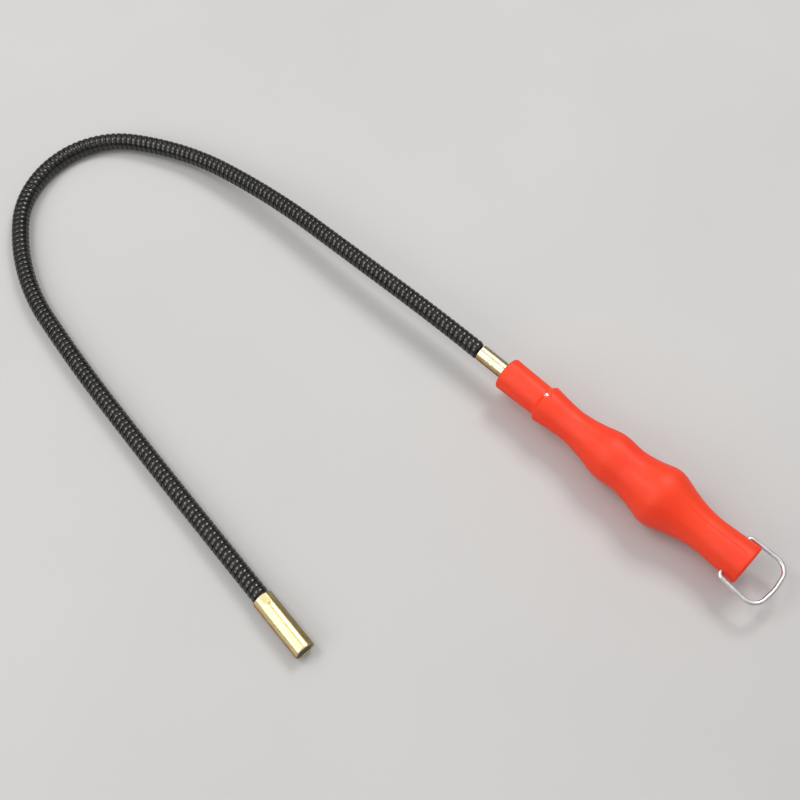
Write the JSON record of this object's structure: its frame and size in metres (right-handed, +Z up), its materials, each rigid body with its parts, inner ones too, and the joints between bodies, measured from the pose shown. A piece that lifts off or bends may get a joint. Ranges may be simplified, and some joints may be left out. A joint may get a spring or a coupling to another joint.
{
  "type": "magnetic pickup tool",
  "caption": "Flexible magnetic retrieving tool: bulged plastic grip with a wire hanging bail, a stay-put coiled gooseneck and a magnet in a crimped brass tip.",
  "frame": {"origin": "middle of the whole tool's box, on the table that it lies on", "axes": "+X along the grip's axis, from its rear end towards the gooseneck; +Z up, away from the table"},
  "size_m": [0.341, 0.1442, 0.0241],
  "materials": {
    "red_plastic": "glossy moulded orange-red plastic with a faint mould seam",
    "brass": "bright drawn brass with light tool marks",
    "pin_steel": "bright domed steel pin",
    "coil_steel": "oiled black spring steel",
    "black_coil": "glossy black finish on ridged coil",
    "magnet": "dark ground magnet face",
    "bail_wire": "bright zinc-plated steel wire"
  },
  "bodies": {
    "grip": {"handle": "red_plastic", "front_ferrule": "brass", "retaining_pin": "pin_steel", "inner_coil_1": "coil_steel", "outer_coil_1": "black_coil"},
    "neck_2": {"inner_coil_2": "coil_steel", "outer_coil_2": "black_coil"},
    "neck_3": {"inner_coil_3": "coil_steel", "outer_coil_3": "black_coil"},
    "neck_4": {"inner_coil_4": "coil_steel", "outer_coil_4": "black_coil"},
    "neck_5": {"inner_coil_5": "coil_steel", "outer_coil_5": "black_coil"},
    "neck_6": {"inner_coil_6": "coil_steel", "outer_coil_6": "black_coil"},
    "neck_7": {"inner_coil_7": "coil_steel", "outer_coil_7": "black_coil"},
    "neck_8": {"inner_coil_8": "coil_steel", "outer_coil_8": "black_coil"},
    "neck_9": {"inner_coil_9": "coil_steel", "outer_coil_9": "black_coil"},
    "tip": {"inner_coil_10": "coil_steel", "outer_coil_10": "black_coil", "tip_sleeve": "brass", "magnet": "magnet"},
    "hanging_bail": {"bail": "bail_wire"}
  },
  "joints": [
    {"name": "neck_turn_1", "type": "hinge", "parent": "grip", "child": "neck_2", "pos_m": [0.00888, -0.05935, 0.01203], "axis": [0, 0, 1], "range_deg": [-30, 30]},
    {"name": "neck_lift_2", "type": "hinge", "parent": "neck_2", "child": "neck_3", "pos_m": [0.05887, -0.05817, 0.01023], "axis": [0.0122, -0.9999, 0], "range_deg": [-30, 30]},
    {"name": "neck_turn_3", "type": "hinge", "parent": "neck_3", "child": "neck_4", "pos_m": [0.10864, -0.05395, 0.00691], "axis": [0, 0, 1], "range_deg": [-35, 10]},
    {"name": "neck_turn_4", "type": "hinge", "parent": "neck_4", "child": "neck_5", "pos_m": [0.15054, -0.03837, 0.0043], "axis": [0, 0, 1], "range_deg": [-40, 0]},
    {"name": "neck_turn_5", "type": "hinge", "parent": "neck_5", "child": "neck_6", "pos_m": [0.16698, -0.00913, 0.0035], "axis": [0, 0, 1], "range_deg": [-40, 0]},
    {"name": "neck_turn_6", "type": "hinge", "parent": "neck_6", "child": "neck_7", "pos_m": [0.1532, 0.02189, 0.0035], "axis": [0, 0, 1], "range_deg": [-40, 0]},
    {"name": "neck_lift_7", "type": "hinge", "parent": "neck_7", "child": "neck_8", "pos_m": [0.10899, 0.04398, 0.0035], "axis": [0.1994, 0.9799, 0], "range_deg": [-30, 30]},
    {"name": "neck_turn_8", "type": "hinge", "parent": "neck_8", "child": "neck_9", "pos_m": [0.05972, 0.05245, 0.0035], "axis": [0, 0, 1], "range_deg": [-35, 10]},
    {"name": "neck_lift_9", "type": "hinge", "parent": "neck_9", "child": "tip", "pos_m": [0.01016, 0.05906, 0.00374], "axis": [0.1253, 0.9921, 0], "range_deg": [-30, 30]},
    {"name": "bail_swing", "type": "hinge", "parent": "grip", "child": "hanging_bail", "pos_m": [-0.15171, -0.06005, 0.01205], "axis": [0, 1, 0], "range_deg": [-139, 151]}
  ]
}
